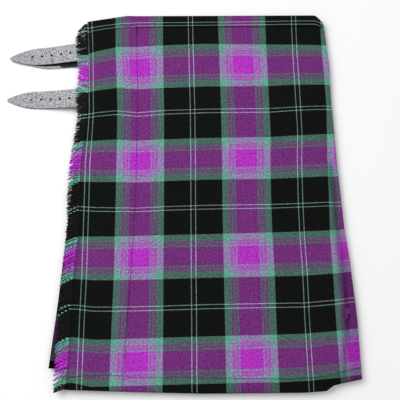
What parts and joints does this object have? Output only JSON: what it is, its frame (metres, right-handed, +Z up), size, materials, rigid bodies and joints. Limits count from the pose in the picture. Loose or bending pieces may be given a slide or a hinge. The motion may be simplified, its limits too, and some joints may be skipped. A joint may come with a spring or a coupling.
{
  "type": "scottish kilt laid flat",
  "caption": "Tartan kilt laid flat with its front apron up: pleated back, under apron, waistband, fringed edge, and leather straps with buckles.",
  "frame": {"origin": "middle of the bounding box's underside, on the surface the kilt lies on", "axes": "+Y towards the waist, the long way; +Z up out of the surface; +X towards the wearer's left"},
  "size_m": [0.546, 0.615, 0.0131],
  "materials": {
    "tartan": "woven tartan twill in black, purple and green with fine pale green lines",
    "fringe_yarn": "ravelled weft yarn in the tartan's colours",
    "grey_leather": "silver grey pebbled leather",
    "steel": "plated steel"
  },
  "bodies": {
    "root": {"front_apron": "tartan", "under_apron": "tartan", "pleated_back": "tartan", "waistband": "tartan", "fringe": "fringe_yarn", "upper_strap": "grey_leather", "lower_strap": "grey_leather", "under_strap": "grey_leather", "upper_buckle_frame": "steel", "upper_buckle_tongue": "steel", "upper_buckle_tab": "grey_leather", "lower_buckle_frame": "steel", "lower_buckle_tongue": "steel", "lower_buckle_tab": "grey_leather", "left_hip_buckle_frame": "steel", "left_hip_buckle_tongue": "steel", "left_hip_buckle_tab": "grey_leather"}
  },
  "joints": []
}
